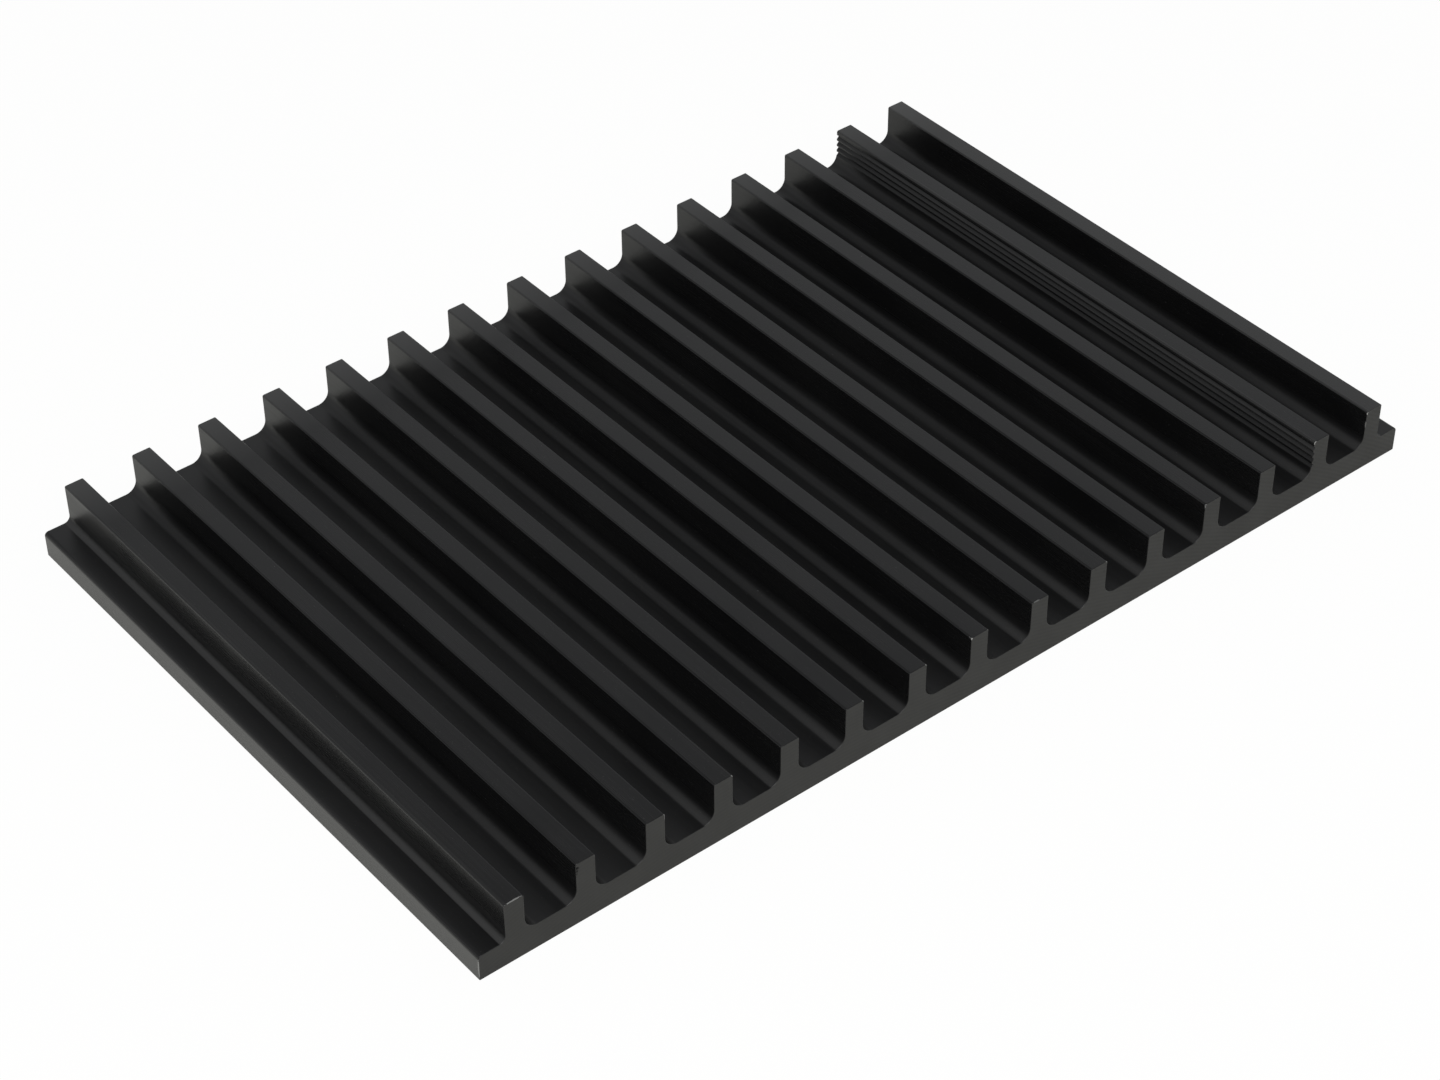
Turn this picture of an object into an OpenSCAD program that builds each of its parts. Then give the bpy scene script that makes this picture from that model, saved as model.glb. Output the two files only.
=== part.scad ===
// Finned heat sink: one extruded aluminium section, sawn to length and anodised black.
// Sizes in millimetres. X runs across the fins, Y along them, Z up from the flat underside.
// The origin is the middle of the underside.

/* [Section] */
// Number of fins
fin_count = 15; // [2:1:30]
// Distance from the middle of one fin to the middle of the next
fin_pitch = 10.5; // [6:0.1:20]
// Thickness of a fin
fin_thickness = 2.9; // [2:0.1:5]
// Height from the underside to the fin tips
overall_height = 10; // [9:0.5:40]
// Thickness of the base under the channels
base_thickness = 4; // [2:0.1:5]
// Bare strip of base outside each end fin
ledge_width = 4.05; // [2:0.05:20]

/* [Length] */
// Length of the sawn piece, along the fins
cut_length = 100; // [20:1:300]

/* [Roots and edges] */
// Fillet where a fin meets the floor of a channel
root_radius = 1.8; // [0.5:0.1:3]
// Fillet where an end fin meets its ledge
ledge_root_radius = 1; // [0.2:0.1:3]
// Rounding of the fin tips
tip_radius = 0.4; // [0.1:0.05:0.7]
// Rounding of the upper long edges of the base
base_top_radius = 0.6; // [0.1:0.05:1.5]
// Rounding of the lower long edges of the base
base_bottom_radius = 0.15; // [0.1:0.05:1.5]

/* [Grooved face] */
// Which fin has grooves on its left face, counted from the right end
grooved_fin = 2; // [1:1:15]
// Number of grooves
groove_count = 4; // [1:1:4]
// Distance from one groove to the next, down the fin
groove_pitch = 1; // [0.6:0.05:1.2]
// Depth of a groove
groove_depth = 0.35; // [0.1:0.05:0.5]
// Distance from the fin tip down to the first groove
groove_drop = 1.1; // [0.6:0.05:1.2]

/* [Hidden] */
$fn = 64;

fin_height = overall_height - base_thickness;
channel_width = fin_pitch - fin_thickness;
fin_span = (fin_count - 1) * fin_pitch;
overall_width = fin_span + fin_thickness + 2 * ledge_width;

// Fillets and roundings end where the walls that carry them end
root_r = min(root_radius, channel_width / 2.1, fin_height - tip_radius);
ledge_root_r = min(ledge_root_radius, ledge_width - base_top_radius, fin_height - tip_radius);

// Middle of each fin, from left to right
fin_places = [for (i = [0 : fin_count - 1]) i * fin_pitch - fin_span / 2];

// Quarter-round that fills the corner at the origin, opening towards +X and +Y; lap runs into the walls behind it
module corner_fillet(r, lap) {
    difference() {
        translate([-lap, -lap])
            square(r + lap);
        translate([r, r])
            circle(r);
    }
}

// Rectangle standing on y = 0 and centred on x = 0, with rounded lower and upper corners
module rounded_bar(width, height, lower_r, upper_r) {
    translate([-width / 2, lower_r])
        square([width, height - lower_r - upper_r]);
    translate([lower_r - width / 2, 0])
        square([width - 2 * lower_r, height / 2]);
    translate([upper_r - width / 2, height / 2])
        square([width - 2 * upper_r, height / 2]);
    for (side = [-1, 1]) {
        translate([side * (width / 2 - lower_r), lower_r])
            circle(lower_r);
        translate([side * (width / 2 - upper_r), height - upper_r])
            circle(upper_r);
    }
}

// One fin with its round tip and its two root fillets, standing on the middle of the base
module fin_section(left_r, right_r) {
    foot = base_thickness / 2;
    translate([-fin_thickness / 2, foot])
        square([fin_thickness, overall_height - tip_radius - foot]);
    translate([tip_radius - fin_thickness / 2, overall_height - 2 * tip_radius])
        square([fin_thickness - 2 * tip_radius, 2 * tip_radius]);
    for (side = [-1, 1])
        translate([side * (fin_thickness / 2 - tip_radius), overall_height - tip_radius])
            circle(tip_radius);
    translate([fin_thickness / 2, base_thickness])
        corner_fillet(right_r, tip_radius);
    translate([-fin_thickness / 2, base_thickness])
        mirror([1, 0])
            corner_fillet(left_r, tip_radius);
}

// Row of right-angled grooves down the left face of the fin that stands at x = 0
module face_grooves() {
    bottom_x = groove_depth - fin_thickness / 2;
    mouth = 2 * groove_depth;
    for (i = [0 : groove_count - 1])
        translate([bottom_x, overall_height - groove_drop - i * groove_pitch])
            polygon([[0, 0], [-mouth, mouth], [-mouth, -mouth]]);
}

// The whole extruded section, drawn in the XZ plane
module section() {
    last = fin_count - 1;
    difference() {
        union() {
            rounded_bar(overall_width, base_thickness, base_bottom_radius, base_top_radius);
            for (i = [0 : last])
                translate([fin_places[i], 0])
                    fin_section(i == 0 ? ledge_root_r : root_r, i == last ? ledge_root_r : root_r);
        }
        translate([fin_places[fin_count - grooved_fin], 0])
            face_grooves();
    }
}

module heat_sink() {
    color([0.16, 0.16, 0.165])
        rotate([90, 0, 0])
            linear_extrude(height = cut_length, center = true)
                section();
}

heat_sink();
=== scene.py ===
import math

import bmesh
import bpy
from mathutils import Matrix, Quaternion, Vector


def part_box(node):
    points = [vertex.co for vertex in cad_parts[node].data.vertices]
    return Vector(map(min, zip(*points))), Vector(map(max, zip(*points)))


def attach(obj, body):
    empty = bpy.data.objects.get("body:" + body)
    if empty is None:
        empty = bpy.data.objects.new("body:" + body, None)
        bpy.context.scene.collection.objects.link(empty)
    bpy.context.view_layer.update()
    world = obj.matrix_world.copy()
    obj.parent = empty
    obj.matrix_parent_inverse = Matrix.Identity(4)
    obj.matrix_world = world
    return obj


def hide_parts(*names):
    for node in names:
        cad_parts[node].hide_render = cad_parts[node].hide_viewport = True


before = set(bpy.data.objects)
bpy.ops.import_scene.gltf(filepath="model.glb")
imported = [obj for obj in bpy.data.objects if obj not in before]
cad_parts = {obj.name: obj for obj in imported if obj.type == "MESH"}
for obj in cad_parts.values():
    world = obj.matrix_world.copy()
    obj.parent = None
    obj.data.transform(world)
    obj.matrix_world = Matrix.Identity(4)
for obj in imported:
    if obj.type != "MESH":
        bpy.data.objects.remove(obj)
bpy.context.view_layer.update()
scene = bpy.context.scene
scene.view_settings.view_transform = "Standard"
mm = 0.001
print("frame loaded, nodes:", ", ".join(sorted(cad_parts)))


# Camera, at the place that the photograph was taken from
shot = {
    "stand": Vector((-221.5, -273.8, 289.8)) * mm,
    "aim": Vector((-6.52, -5.39, 0.0)) * mm,
    "lens": 82.55,
    "sensor": 36.0,
    "roll": math.radians(-0.455),      # the horizon leans a little
    "clipStart": 10.0 * mm,
}


def addCamera():
    data = bpy.data.cameras.new("camera")
    data.sensor_fit = "HORIZONTAL"
    data.sensor_width = shot["sensor"]
    data.lens = shot["lens"]
    data.clip_start = shot["clipStart"]
    camera = bpy.data.objects.new("camera", data)
    scene.collection.objects.link(camera)
    look = (shot["aim"] - shot["stand"]).to_track_quat("-Z", "Y")
    camera.rotation_mode = "QUATERNION"
    camera.rotation_quaternion = look @ Quaternion((0, 0, 1), shot["roll"])
    camera.location = shot["stand"]
    scene.camera = camera


addCamera()
print("camera set, lens", shot["lens"])


# The extruded section, cut to length. The overall box comes from the frame
sinkLow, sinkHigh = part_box("heat_sink")
sink = {
    "fins": 15,
    "pitch": 10.5 * mm,
    "finThickness": 2.9 * mm,
    "baseThickness": 4.0 * mm,
    "rootRadius": 1.8 * mm,
    "ledgeRootRadius": 1.0 * mm,
    "tipRadius": 0.25 * mm,
    "baseTopRadius": 0.6 * mm,
    "baseBottomRadius": 0.15 * mm,
    "grooves": 4,
    "groovedFin": 13,              # counted from 0 at the left
    "groovePitch": 1.0 * mm,
    "grooveDepth": 0.35 * mm,
    "grooveDrop": 1.1 * mm,        # from the fin tip to the first groove
    "runOut": 0.25,                # the last groove runs out in this part of the root fillet
    "brokenEdge": 0.08 * mm,       # the saw burr is rubbed off this far round each end
    "creaseAngle": math.radians(38),
}
roundSteps = {"root": 10, "ledgeRoot": 7, "tip": 5, "baseTop": 6, "baseBottom": 4, "brokenEdge": 3}
near = 0.01 * mm                   # places this close count as the same
facing = 0.99                      # part of its normal that a face has along the axis it faces
flatAngle = math.radians(1)        # faces that meet flatter than this are joined
sawnIndex = 1                      # the ends take the second material


def finMiddle(i):
    return (i - (sink["fins"] - 1) / 2) * sink["pitch"]


outerWall = finMiddle(sink["fins"] - 1) + sink["finThickness"] / 2
groovedWall = finMiddle(sink["groovedFin"]) - sink["finThickness"] / 2


def longEdges(bm, x, z):
    # the edges that run along the fins at this place of the section
    def isHere(v):
        return abs(v.co.x - x) < near and abs(v.co.z - z) < near

    return [e for e in bm.edges if all(isHere(v) for v in e.verts)]


def roundOff(bm, edges, radius, steps):
    bmesh.ops.bevel(bm, geom=edges, offset=radius, offset_type="OFFSET", affect="EDGES",
                    segments=steps, profile=0.5, material=-1, clamp_overlap=False)


def makeSlab(bm):
    size = sinkHigh - sinkLow
    size.z = sink["baseThickness"]
    bmesh.ops.create_cube(bm, size=1.0)
    bmesh.ops.scale(bm, vec=size, verts=bm.verts)
    bmesh.ops.translate(bm, vec=(0, 0, size.z / 2), verts=bm.verts)


def raiseFins(bm):
    half = sink["finThickness"] / 2
    middles = [finMiddle(i) for i in range(sink["fins"])]
    for middle in middles:
        for x in (middle - half, middle + half):
            everything = bm.verts[:] + bm.edges[:] + bm.faces[:]
            bmesh.ops.bisect_plane(bm, geom=everything, plane_co=(x, 0, 0), plane_no=(1, 0, 0))
    strips = [f for f in bm.faces if f.normal.z > facing
              and any(abs(f.calc_center_median().x - m) < near for m in middles)]
    tops = bmesh.ops.extrude_discrete_faces(bm, faces=strips)["faces"]
    lifted = list({v for f in tops for v in f.verts})
    bmesh.ops.translate(bm, vec=(0, 0, sinkHigh.z - sink["baseThickness"]), verts=lifted)
    bmesh.ops.dissolve_limit(bm, angle_limit=flatAngle, verts=bm.verts[:], edges=bm.edges[:])


def roundSection(bm):
    half = sink["finThickness"] / 2
    base, top = sink["baseThickness"], sinkHigh.z
    roots, ledgeRoots, tips = [], [], []
    for i in range(sink["fins"]):
        for x in (finMiddle(i) - half, finMiddle(i) + half):
            onLedge = abs(x) > outerWall - near
            (ledgeRoots if onLedge else roots).extend(longEdges(bm, x, base))
            tips += longEdges(bm, x, top)
    upper = longEdges(bm, sinkLow.x, base) + longEdges(bm, sinkHigh.x, base)
    lower = longEdges(bm, sinkLow.x, 0) + longEdges(bm, sinkHigh.x, 0)
    roundOff(bm, roots, sink["rootRadius"], roundSteps["root"])
    roundOff(bm, ledgeRoots, sink["ledgeRootRadius"], roundSteps["ledgeRoot"])
    roundOff(bm, tips, sink["tipRadius"], roundSteps["tip"])
    roundOff(bm, upper, sink["baseTopRadius"], roundSteps["baseTop"])
    roundOff(bm, lower, sink["baseBottomRadius"], roundSteps["baseBottom"])


def cutGrooves(bm):
    depth = sink["grooveDepth"]
    reach = sink["rootRadius"] * sink["runOut"]
    bottoms = [sinkHigh.z - sink["grooveDrop"] - k * sink["groovePitch"] for k in range(sink["grooves"])]
    levels = sorted({z + d for z in bottoms for d in (-depth, 0, depth)})
    levels.append(bottoms[-1] - depth - reach * sink["runOut"])

    def onWall(v, out):
        return groovedWall - out < v.co.x < groovedWall + near

    for level in levels:
        faces = [f for f in bm.faces if abs(f.normal.y) < facing
                 and all(onWall(v, 2 * reach) for v in f.verts)]
        edges = list({e for f in faces for e in f.edges})
        verts = list({v for f in faces for v in f.verts})
        bmesh.ops.bisect_plane(bm, geom=verts + edges + faces, plane_co=(0, 0, level), plane_no=(0, 0, 1))
    for v in bm.verts:
        if onWall(v, reach) and levels[-1] - reach < v.co.z < sinkHigh.z - near:
            v.co.x = max([v.co.x] + [groovedWall + depth - abs(v.co.z - z) for z in bottoms])


def breakEnds(bm):
    # the rim of each sawn end is rubbed smooth, and the ends take the sawn finish
    ends = [f for f in bm.faces if abs(f.normal.y) > facing]
    edges = list({e for f in ends for e in f.edges})
    bmesh.ops.bevel(bm, geom=edges, offset=sink["brokenEdge"], offset_type="OFFSET", affect="EDGES",
                    segments=roundSteps["brokenEdge"], profile=0.5, material=-1, loop_slide=True)
    for f in bm.faces:
        if abs(f.normal.y) > facing:
            f.material_index = sawnIndex


def makeSink():
    bm = bmesh.new()
    makeSlab(bm)
    raiseFins(bm)
    roundSection(bm)
    cutGrooves(bm)
    breakEnds(bm)
    bmesh.ops.recalc_face_normals(bm, faces=bm.faces)
    mesh = bpy.data.meshes.new("heatSinkExtrusion")
    bm.to_mesh(mesh)
    bm.free()
    for p in mesh.polygons:
        p.use_smooth = True
    mesh.set_sharp_from_angle(angle=sink["creaseAngle"])
    piece = bpy.data.objects.new("heatSinkExtrusion", mesh)
    scene.collection.objects.link(piece)
    even = piece.modifiers.new("evenNormals", "WEIGHTED_NORMAL")
    even.keep_sharp = True
    return piece


heatSink = makeSink()
print("heat sink modelled:", len(heatSink.data.polygons), "faces")


def addNode(tree, kind, **settings):
    made = tree.nodes.new("ShaderNode" + kind)
    for name, value in settings.items():
        setattr(made, name, value)
    return made


def feed(tree, socket, value):
    # a socket takes another node's output, or a plain value
    if isinstance(value, bpy.types.NodeSocket):
        tree.links.new(value, socket)
    else:
        socket.default_value = value


def calc(tree, operation, a, b=0.0, clamp=False):
    made = addNode(tree, "Math", operation=operation, use_clamp=clamp)
    feed(tree, made.inputs[0], a)
    feed(tree, made.inputs[1], b)
    return made.outputs[0]


def times(tree, first, *others):
    product = first
    for other in others:
        product = calc(tree, "MULTIPLY", product, other)
    return product


def weigh(tree, share, a, b):
    # this share of a, and the rest of b
    return calc(tree, "ADD", calc(tree, "MULTIPLY", a, share), calc(tree, "MULTIPLY", b, 1 - share))


def blendColour(tree, share, a, b):
    made = addNode(tree, "Mix", data_type="RGBA")
    feed(tree, made.inputs["Factor"], share)
    feed(tree, made.inputs["A"], a)
    feed(tree, made.inputs["B"], b)
    return made.outputs["Result"]


def ramp(tree, value, low, high, toLow=0.0, toHigh=1.0):
    made = addNode(tree, "MapRange")
    feed(tree, made.inputs["Value"], value)
    for name, number in (("From Min", low), ("From Max", high), ("To Min", toLow), ("To Max", toHigh)):
        made.inputs[name].default_value = number
    return made.outputs["Result"]


def stretchedNoise(tree, place, size, detail):
    # grains of the given size along each axis
    spread = addNode(tree, "Mapping")
    spread.inputs["Scale"].default_value = [1 / length for length in size]
    feed(tree, spread.inputs["Vector"], place)
    noise = addNode(tree, "TexNoise")
    noise.inputs["Scale"].default_value = 1.0
    noise.inputs["Detail"].default_value = detail
    feed(tree, noise.inputs["Vector"], spread.outputs["Vector"])
    return noise.outputs["Fac"]


def evenNoise(tree, place, grain, detail):
    return stretchedNoise(tree, place, (grain, grain, grain), detail)


def measures(tree, place):
    # where a point of the piece lies, as distances
    split = addNode(tree, "SeparateXYZ")
    feed(tree, split.inputs[0], place)
    x, y, z = split.outputs
    return {
        "x": x,
        "fromMiddle": calc(tree, "ABSOLUTE", x),
        "fromRear": calc(tree, "SUBTRACT", sinkHigh.y, y),
        "aboveFloor": calc(tree, "SUBTRACT", z, sink["baseThickness"]),
        "belowTip": calc(tree, "SUBTRACT", sinkHigh.z, z),
    }


# Marks on the rim of the front end: bare metal where it was knocked, and painted shade in dark bites where
# it was chipped
def atTip(fin, across, down):
    return Vector((finMiddle(fin) + across * mm, sinkLow.y, sinkHigh.z - down * mm))


spotShape = {
    "grain": 0.12 * mm,
    "detail": 3,
    "evenLevel": 0.5,              # the noise's middle
    "edge": (0.22, 0.42),          # the wear begins and is full at these depths
}
scuffsAndSheen = {
    # bare metal, for the scuffs and for the painted sheen
    "colour": (0.56, 0.56, 0.55, 1),
    "roughness": 0.38,
    "spots": [   # middle, reach along each axis in millimetres, how bare
        (atTip(0, 0.0, 0.0), (1.7, 0.2, 0.16), 0.4),
        (atTip(2, 1.4, 0.4), (0.25, 0.2, 0.7), 0.45),
        (atTip(3, 1.35, 0.1), (0.25, 0.2, 0.25), 0.35),
        (atTip(5, 1.4, 0.1), (0.25, 0.2, 0.3), 0.45),
        (atTip(6, 1.4, 0.05), (0.25, 0.25, 0.3), 0.45),
        (atTip(7, -1.3, 0.2), (0.22, 1.3, 0.22), 0.2),
        (atTip(7, -1.35, 0.2), (0.2, 0.2, 0.22), 0.7),
        (atTip(7, 1.4, 0.05), (0.2, 0.2, 0.25), 0.35),
        (atTip(8, -0.6, 0.0), (0.8, 0.2, 0.15), 0.2),
        (atTip(9, 1.4, 0.05), (0.25, 0.25, 0.3), 0.45),
        (atTip(11, -1.4, 0.3), (0.25, 0.2, 0.5), 0.25),
        (atTip(13, -1.25, 0.2), (0.38, 0.13, 0.38), 0.7),
        (atTip(14, -1.3, 0.3), (0.28, 0.2, 0.33), 0.8),
        (atTip(14, 1.4, 0.15), (0.25, 0.2, 0.35), 0.4),
        (atTip(14, -1.45, 2.2), (0.2, 0.2, 0.7), 0.2),
        (Vector((sinkLow.x, sinkLow.y, sink["baseThickness"] / 2)), (0.22, 0.22, 2.2), 0.35),
    ],
}
# Painted shade: near-black metal with no reflection stands in for the shade in small chips
nickShade = {
    "colour": (0.002, 0.002, 0.002, 1),
    "roughness": 0.8,
    "spots": [
        (atTip(1, -1.45, 0.75), (0.6, 0.6, 0.28), 1.0),
        (atTip(1, -1.45, 1.25), (0.5, 0.6, 0.25), 1.0),
        (atTip(1, -1.45, 1.7), (0.4, 0.6, 0.22), 0.9),
    ],
}


def addSpots(tree, place, spots):
    # share of the mark, 0 to 1: wear at the scuffs, painted shade at the nicks
    grain = evenNoise(tree, place, spotShape["grain"], spotShape["detail"])
    unevenness = calc(tree, "SUBTRACT", grain, spotShape["evenLevel"])
    wearAndPaintedLight = 0.0
    for middle, reach, share in spots:
        away = addNode(tree, "VectorMath", operation="SUBTRACT")
        feed(tree, away.inputs[0], place)
        away.inputs[1].default_value = middle
        shrunk = addNode(tree, "VectorMath", operation="DIVIDE")
        feed(tree, shrunk.inputs[0], away.outputs["Vector"])
        shrunk.inputs[1].default_value = Vector(reach) * mm
        far = addNode(tree, "VectorMath", operation="LENGTH")
        feed(tree, far.inputs[0], shrunk.outputs["Vector"])
        depth = calc(tree, "ADD", ramp(tree, far.outputs["Value"], 1.0, 0.0), unevenness)
        wearAndPaintedLight = calc(tree, "MAXIMUM", ramp(tree, depth, *spotShape["edge"], 0.0, share), wearAndPaintedLight)
    return wearAndPaintedLight


def finishShader(mat, look, colour, roughness, height, wearAndPaintedLight, markLook):
    # black dye, mixed towards a mark's look: bare metal for wear and for painted sheen, near-black for
    # painted shade at the nicks
    tree = mat.node_tree
    shader = tree.nodes["Principled BSDF"]
    feed(tree, shader.inputs["Base Color"], blendColour(tree, wearAndPaintedLight, colour, markLook["colour"]))
    feed(tree, shader.inputs["Metallic"], wearAndPaintedLight)
    dull = addNode(tree, "Mix", data_type="FLOAT")
    feed(tree, dull.inputs["Factor"], wearAndPaintedLight)
    feed(tree, dull.inputs["A"], roughness)
    feed(tree, dull.inputs["B"], markLook["roughness"])
    feed(tree, shader.inputs["Roughness"], dull.outputs["Result"])
    bump = addNode(tree, "Bump")
    bump.inputs["Strength"].default_value = 1.0
    bump.inputs["Distance"].default_value = look["relief"]
    feed(tree, bump.inputs["Height"], height)
    feed(tree, shader.inputs["Normal"], bump.outputs["Normal"])
    shader.inputs["IOR"].default_value = look["ior"]


# Painted sheen where more light reaches, as shares of bare metal: the feet of the fillets
filletSheen = {
    "foot": (0.005, 0.02),                  # above the floor, as parts of the fillet's radius
    "upper": (0.50, 0.10),
    "front": 0.022,
    "frontReach": (60.0 * mm, 98.0 * mm),   # from the rear end
    "rear": 0.012,
    "rearReach": (8.0 * mm, 2.0 * mm),
    "left": 0.008,
    "leftReach": (30.0 * mm, -60.0 * mm),   # from the middle
    "leftFade": (0.0 * mm, 70.0 * mm),      # from the rear end
    "ledge": 0.030,
    "ledgeEnds": 0.7,                       # the rest counts less on the ledges
}


def filletFoot(tree, at, radius):
    height = calc(tree, "DIVIDE", at["aboveFloor"], radius)
    return times(tree, ramp(tree, height, *filletSheen["foot"]),
                 ramp(tree, height, *filletSheen["upper"]))


def paintFilletSheen(tree, at):
    look = filletSheen
    front = ramp(tree, at["fromRear"], *look["frontReach"])
    rear = ramp(tree, at["fromRear"], *look["rearReach"], 0.0, look["rear"])
    left = times(tree, ramp(tree, at["x"], *look["leftReach"]),
                 ramp(tree, at["fromRear"], *look["leftFade"]), look["left"])
    handled = calc(tree, "ADD", calc(tree, "ADD", times(tree, front, front, look["front"]), rear), left)
    outside = calc(tree, "GREATER_THAN", at["fromMiddle"], outerWall)
    inside = calc(tree, "SUBTRACT", 1.0, outside)
    roots = times(tree, handled, filletFoot(tree, at, sink["rootRadius"]), inside)
    ledge = calc(tree, "ADD", times(tree, handled, look["ledgeEnds"]), look["ledge"])
    ledgeRoots = times(tree, ledge, filletFoot(tree, at, sink["ledgeRootRadius"]), outside)
    return calc(tree, "ADD", roots, ledgeRoots)


# Painted sheen on the outer walls of the two end fins, up and over the tip
outerWallSheen = {
    "wall": 0.006,
    "tip": 0.015,
    "foot": (0.9 * mm, 1.6 * mm),           # above the floor
    "rise": (1.5 * mm, 0.6 * mm),           # below the tip
    "over": (0.5 * mm, 0.2 * mm),           # in from the wall
}


def paintOuterWallSheen(tree, at):
    look = outerWallSheen
    inwards = calc(tree, "SUBTRACT", outerWall, at["fromMiddle"])
    return times(tree, ramp(tree, inwards, *look["over"]), ramp(tree, at["aboveFloor"], *look["foot"]),
                 ramp(tree, at["belowTip"], *look["rise"], look["wall"], look["tip"]))


# Painted sheen on the tops of the fins, at the rear end and all along the last fin
topSheen = {
    "rear": 0.058,
    "rearReach": (11.0 * mm, 0.0 * mm),     # from the rear end
    "lastFin": 0.028,
    "edge": (0.25 * mm, 0.05 * mm),         # below the tip
}


def paintTopSheen(tree, at):
    look = topSheen
    onLast = calc(tree, "GREATER_THAN", at["x"], outerWall - sink["finThickness"])
    rear = ramp(tree, at["fromRear"], *look["rearReach"], 0.0, look["rear"])
    share = calc(tree, "ADD", rear, times(tree, onLast, look["lastFin"]))
    return times(tree, share, ramp(tree, at["belowTip"], *look["edge"]))


# Painted sheen on the ridges between the grooves, and the edge of the fin above them
grooveSheen = {
    "ridges": 0.026,
    "ridgesAlong": (0.75, 1.25),            # from the rear end to the front end
    "ridgesRise": (3.5 * mm, 1.0 * mm),     # below the tip
    "ridgesTop": (0.72 * mm, 0.8 * mm),
    "edge": 0.027,
    "edgeRise": (0.65 * mm, 0.25 * mm),     # below the tip
    "edgeOver": (0.5 * mm, 0.2 * mm),       # in from the wall
}


def paintGrooveSheen(tree, at):
    look = grooveSheen
    fromWall = calc(tree, "ABSOLUTE", calc(tree, "SUBTRACT", at["x"], groovedWall))
    grooved = calc(tree, "LESS_THAN", fromWall, 2 * sink["grooveDepth"])
    rise = times(tree, ramp(tree, at["belowTip"], *look["ridgesRise"]),
                 ramp(tree, at["belowTip"], *look["ridgesTop"]))
    along = ramp(tree, at["fromRear"], 0.0, sinkHigh.y - sinkLow.y, *look["ridgesAlong"])
    ridges = times(tree, grooved, rise, along, look["ridges"])
    edge = times(tree, ramp(tree, fromWall, *look["edgeOver"]),
                 ramp(tree, at["belowTip"], *look["edgeRise"]), look["edge"])
    return calc(tree, "MAXIMUM", ridges, edge)


# Satin black skin, as extruded: fine lines from the die run the whole length
skin = {
    "black": (0.0040, 0.0040, 0.0042, 1),
    "thinDye": (0.0062, 0.0062, 0.0063, 1),
    "smooth": 0.20,
    "dull": 0.31,
    "noiseRange": (0.35, 0.65),             # of the noise, from black to thin and from smooth to dull
    "ior": 1.45,
    "dieLine": Vector((0.32, 70.0, 0.32)) * mm,
    "hairLine": Vector((0.08, 25.0, 0.08)) * mm,
    "lineDetail": 2,
    "cloud": Vector((9.0, 16.0, 9.0)) * mm,
    "cloudDetail": 4,
    "dieInStreak": 0.6,                     # the rest of a streak is hair lines
    "cloudInTone": 0.7,                     # the rest of the tone is die lines
    "streakInGloss": 0.6,                   # the rest of the gloss is cloud
    "relief": 0.0007 * mm,
    "rearDull": 0.12,                       # the rear end is duller
    "rearReach": (16.0 * mm, 6.0 * mm),     # from the rear end
    "floorDull": 0.12,                      # the die leaves the floors and fillets this much duller
    "floorFrom": (-0.3 * mm, -0.05 * mm),   # above the floor: where that begins and is full,
    "floorTo": (2.0 * mm, 1.0 * mm),        # and where it ends and is still full
}


def addedDullness(tree, at):
    # for the floors, fillets and rear end, and not for the sides of the base
    low = ramp(tree, at["aboveFloor"], *skin["floorTo"], 0.0, skin["floorDull"])
    rear = ramp(tree, at["fromRear"], *skin["rearReach"], 0.0, skin["rearDull"])
    return times(tree, ramp(tree, at["aboveFloor"], *skin["floorFrom"]), calc(tree, "MAXIMUM", low, rear))


def satinSkin():
    mat = bpy.data.materials.new("satinBlackSkin")
    mat.use_nodes = True
    tree = mat.node_tree
    place = addNode(tree, "TexCoord").outputs["Object"]
    at = measures(tree, place)
    lines = stretchedNoise(tree, place, skin["dieLine"], skin["lineDetail"])
    hairs = stretchedNoise(tree, place, skin["hairLine"], skin["lineDetail"])
    cloud = stretchedNoise(tree, place, skin["cloud"], skin["cloudDetail"])
    streak = weigh(tree, skin["dieInStreak"], lines, hairs)
    tone = weigh(tree, skin["cloudInTone"], cloud, lines)
    gloss = weigh(tree, skin["streakInGloss"], streak, cloud)
    thinness = ramp(tree, tone, *skin["noiseRange"])
    colour = blendColour(tree, thinness, skin["black"], skin["thinDye"])
    roughness = ramp(tree, gloss, *skin["noiseRange"], skin["smooth"], skin["dull"])
    roughness = calc(tree, "ADD", roughness, addedDullness(tree, at))
    # real scuffs, and painted sheen as shares of bare metal on the fillets, walls, tops and grooves
    wearAndSheen = addSpots(tree, place, scuffsAndSheen["spots"])
    for paintSheen in (paintFilletSheen, paintOuterWallSheen, paintTopSheen, paintGrooveSheen):
        wearAndSheen = calc(tree, "MAXIMUM", wearAndSheen, paintSheen(tree, at))
    finishShader(mat, skin, colour, roughness, streak, wearAndSheen, scuffsAndSheen)
    return mat


# Matt black ends: the saw left shallow arcs before the dye went on
sawnEnd = {
    "black": (0.0082, 0.0081, 0.0076, 1),
    "thinDye": (0.0126, 0.0124, 0.0116, 1),
    "smooth": 0.46,
    "dull": 0.62,
    "noiseRange": (0.3, 0.7),
    "ior": 1.45,
    "sawCentre": Vector((-35.0, 0.0, -150.0)) * mm,
    "toothMark": 0.6 * mm,
    "waver": 1.2,                           # of the arcs
    "waverDetail": 2.0,
    "grain": 0.16 * mm,
    "grainDetail": 3,
    "cloud": 5.0 * mm,
    "cloudDetail": 4,
    "arcsInMarks": 0.45,                    # the rest of the marks is grain
    "cloudInTone": 0.6,                     # the rest of the tone is marks
    "relief": 0.003 * mm,
}
ringsPerUnit = 20 / (2 * math.pi)           # the Wave node's own rate at a scale of 1


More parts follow.
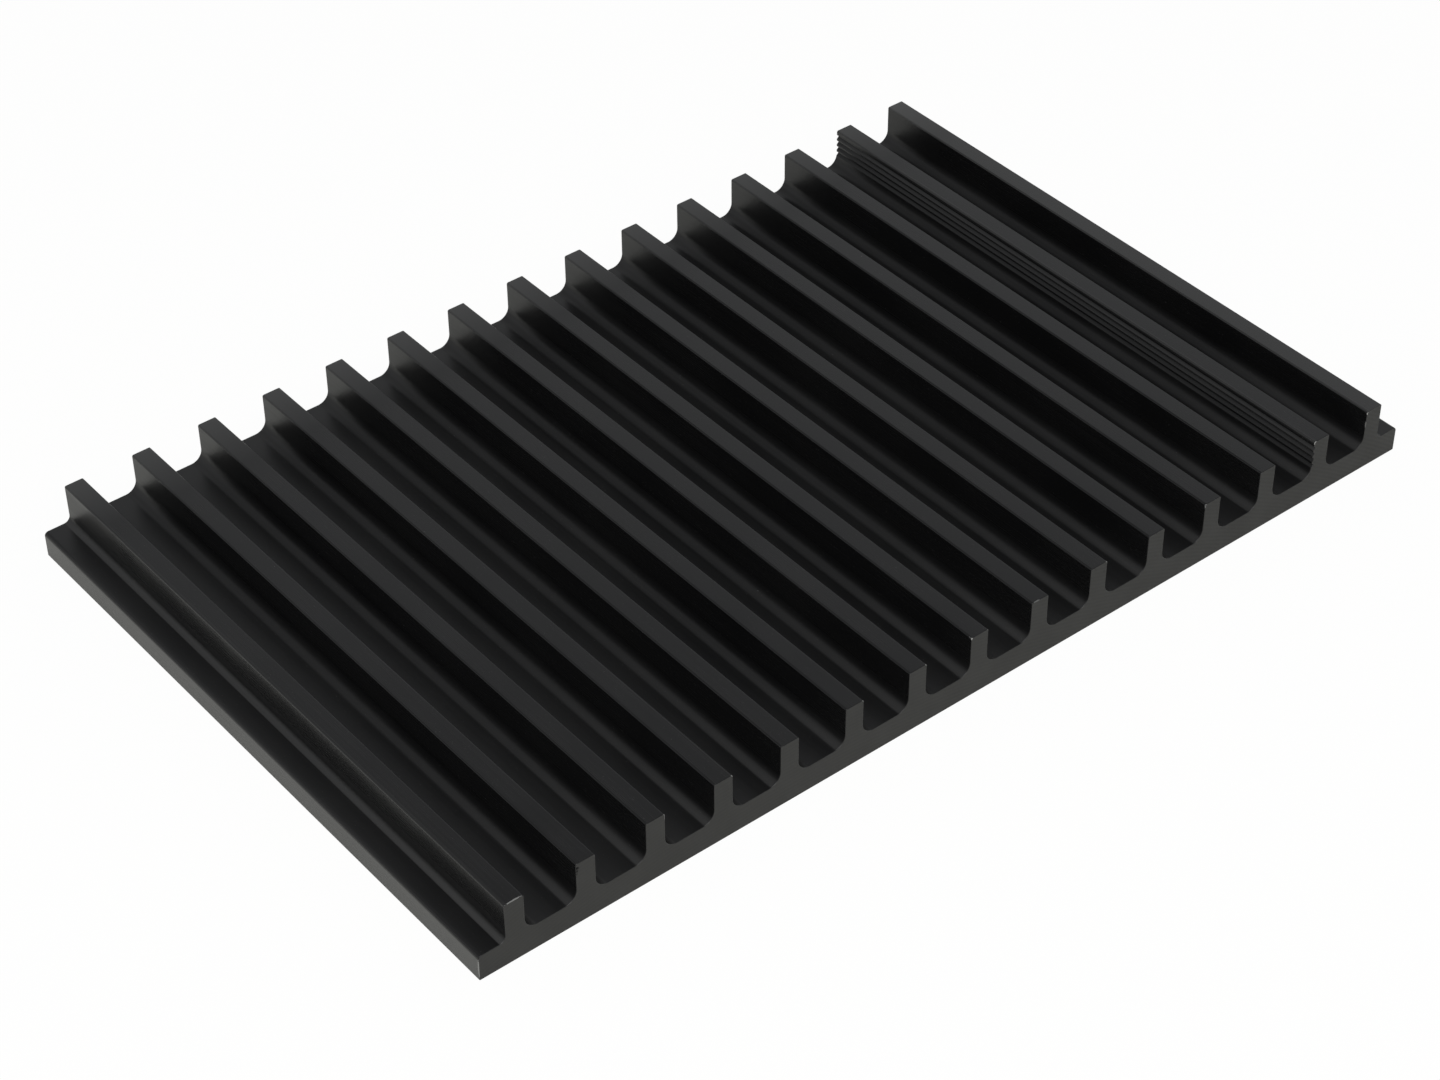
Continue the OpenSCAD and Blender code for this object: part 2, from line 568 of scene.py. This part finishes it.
def sawArcs(tree, place):
    centred = addNode(tree, "Mapping")
    centred.inputs["Location"].default_value = -sawnEnd["sawCentre"]
    feed(tree, centred.inputs["Vector"], place)
    arcs = addNode(tree, "TexWave", wave_type="RINGS", rings_direction="Y", wave_profile="SIN")
    arcs.inputs["Scale"].default_value = 1 / (sawnEnd["toothMark"] * ringsPerUnit)
    arcs.inputs["Distortion"].default_value = sawnEnd["waver"]
    arcs.inputs["Detail"].default_value = sawnEnd["waverDetail"]
    feed(tree, arcs.inputs["Vector"], centred.outputs["Vector"])
    return arcs.outputs["Fac"]


def mattSawn():
    mat = bpy.data.materials.new("mattBlackSawn")
    mat.use_nodes = True
    tree = mat.node_tree
    place = addNode(tree, "TexCoord").outputs["Object"]
    grain = evenNoise(tree, place, sawnEnd["grain"], sawnEnd["grainDetail"])
    cloud = evenNoise(tree, place, sawnEnd["cloud"], sawnEnd["cloudDetail"])
    marks = weigh(tree, sawnEnd["arcsInMarks"], sawArcs(tree, place), grain)
    tone = weigh(tree, sawnEnd["cloudInTone"], cloud, marks)
    thinness = ramp(tree, tone, *sawnEnd["noiseRange"])
    colour = blendColour(tree, thinness, sawnEnd["black"], sawnEnd["thinDye"])
    roughness = ramp(tree, tone, *sawnEnd["noiseRange"], sawnEnd["smooth"], sawnEnd["dull"])
    # painted shade at the nicks
    nickShadeMask = addSpots(tree, place, nickShade["spots"])
    finishShader(mat, sawnEnd, colour, roughness, marks, nickShadeMask, nickShade)
    return mat


heatSink.data.materials.append(satinSkin())
heatSink.data.materials.append(mattSawn())
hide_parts("heat_sink")
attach(heatSink, "root")
print("finish on:", ", ".join(m.name for m in heatSink.data.materials))


# White table
table = {
    "size": 8.0,
    "drop": 0.05 * mm,
    "paint": (0.89, 0.89, 0.843, 1),
    "glow": 0.95,            # share of the white that shows without light on it, so shadows stay faint
    "mirrorGlow": 0.08,      # the same for the table as the metal mirrors it
}


def whiteTable():
    mat = bpy.data.materials.new("whiteTable")
    mat.use_nodes = True
    tree = mat.node_tree
    tree.nodes.clear()
    path = addNode(tree, "LightPath").outputs
    mirrored = calc(tree, "ADD", path["Is Glossy Ray"], path["Is Transmission Ray"], clamp=True)
    glow = calc(tree, "ADD", calc(tree, "MULTIPLY", mirrored, table["mirrorGlow"]),
                calc(tree, "MULTIPLY", path["Is Camera Ray"], table["glow"]))
    paint = addNode(tree, "BsdfDiffuse")
    paint.inputs["Color"].default_value = table["paint"]
    mix = addNode(tree, "MixShader")
    feed(tree, mix.inputs[0], glow)
    tree.links.new(paint.outputs[0], mix.inputs[1])
    tree.links.new(addNode(tree, "Emission").outputs[0], mix.inputs[2])
    tree.links.new(mix.outputs[0], addNode(tree, "OutputMaterial").inputs["Surface"])
    return mat


def addTable():
    bm = bmesh.new()
    bmesh.ops.create_grid(bm, x_segments=1, y_segments=1, size=table["size"] / 2)
    bmesh.ops.translate(bm, vec=(0, 0, -table["drop"]), verts=bm.verts)
    mesh = bpy.data.meshes.new("table")
    bm.to_mesh(mesh)
    bm.free()
    floor = bpy.data.objects.new("table", mesh)
    floor.data.materials.append(whiteTable())
    scene.collection.objects.link(floor)


# Soft light: a pale band part of the way up the sky, and one softbox overhead
sky = {
    "levels": [              # height, from the horizon to straight up, and brightness
        (0.0, 0.22), (0.12, 0.26), (0.28, 0.52), (0.40, 0.68), (0.56, 0.66), (0.62, 0.56),
        (0.66, 0.44), (0.70, 0.355), (0.74, 0.285), (0.80, 0.22), (1.0, 0.18),
    ],
    "tint": (0.97, 0.985, 1.0),
    "lean": 0.14,            # the pale band lies lower on the left
    "shadeSide": Vector((0.68, 0.73, 0.0)),     # the left half of the sky darkens towards this side
    "shadeFrom": (0.16, 0.31),
    "shade": (0.10, 0.36),                      # share of the light taken off
    "shadeLeft": (-0.10, -0.24),
    "shadeUp": (0.15, 0.45),
}
softbox = {
    "size": 0.7,
    "place": Vector((-0.30, -0.40, 0.75)),
    "power": 6.6,
}


def addSky():
    world = bpy.data.worlds.new("studio")
    scene.world = world
    world.use_nodes = True
    tree = world.node_tree
    split = addNode(tree, "SeparateXYZ")
    direction = addNode(tree, "TexCoord").outputs["Generated"]
    feed(tree, split.inputs[0], direction)
    fall = addNode(tree, "ValToRGB")
    stops = fall.color_ramp.elements
    while len(stops) < len(sky["levels"]):
        stops.new(1.0)
    for stop, (height, level) in zip(stops, sky["levels"]):
        stop.position = height
        stop.color = [level * part for part in sky["tint"]] + [1]
    leftwards = calc(tree, "MINIMUM", split.outputs["X"], 0.0)
    leaning = calc(tree, "SUBTRACT", split.outputs["Z"], calc(tree, "MULTIPLY", leftwards, sky["lean"]))
    feed(tree, fall.inputs["Fac"], leaning)
    turned = addNode(tree, "VectorMath", operation="DOT_PRODUCT")
    feed(tree, turned.inputs[0], direction)
    turned.inputs[1].default_value = sky["shadeSide"]
    shade = ramp(tree, turned.outputs["Value"], *sky["shadeFrom"], *sky["shade"])
    shaded = calc(tree, "MULTIPLY", ramp(tree, split.outputs["X"], *sky["shadeLeft"]),
                  ramp(tree, split.outputs["Z"], *sky["shadeUp"]))
    light = tree.nodes["Background"]
    feed(tree, light.inputs["Color"], fall.outputs["Color"])
    feed(tree, light.inputs["Strength"], calc(tree, "SUBTRACT", 1.0, calc(tree, "MULTIPLY", shade, shaded)))


def addSoftbox():
    data = bpy.data.lights.new("softbox", "AREA")
    data.shape = "SQUARE"
    data.size = softbox["size"]
    data.energy = softbox["power"]
    lamp = bpy.data.objects.new("softbox", data)
    lamp.location = softbox["place"]
    lamp.rotation_mode = "QUATERNION"
    lamp.rotation_quaternion = (-softbox["place"]).to_track_quat("-Z", "Y")
    scene.collection.objects.link(lamp)


addTable()
addSky()
addSoftbox()
print("studio lit")
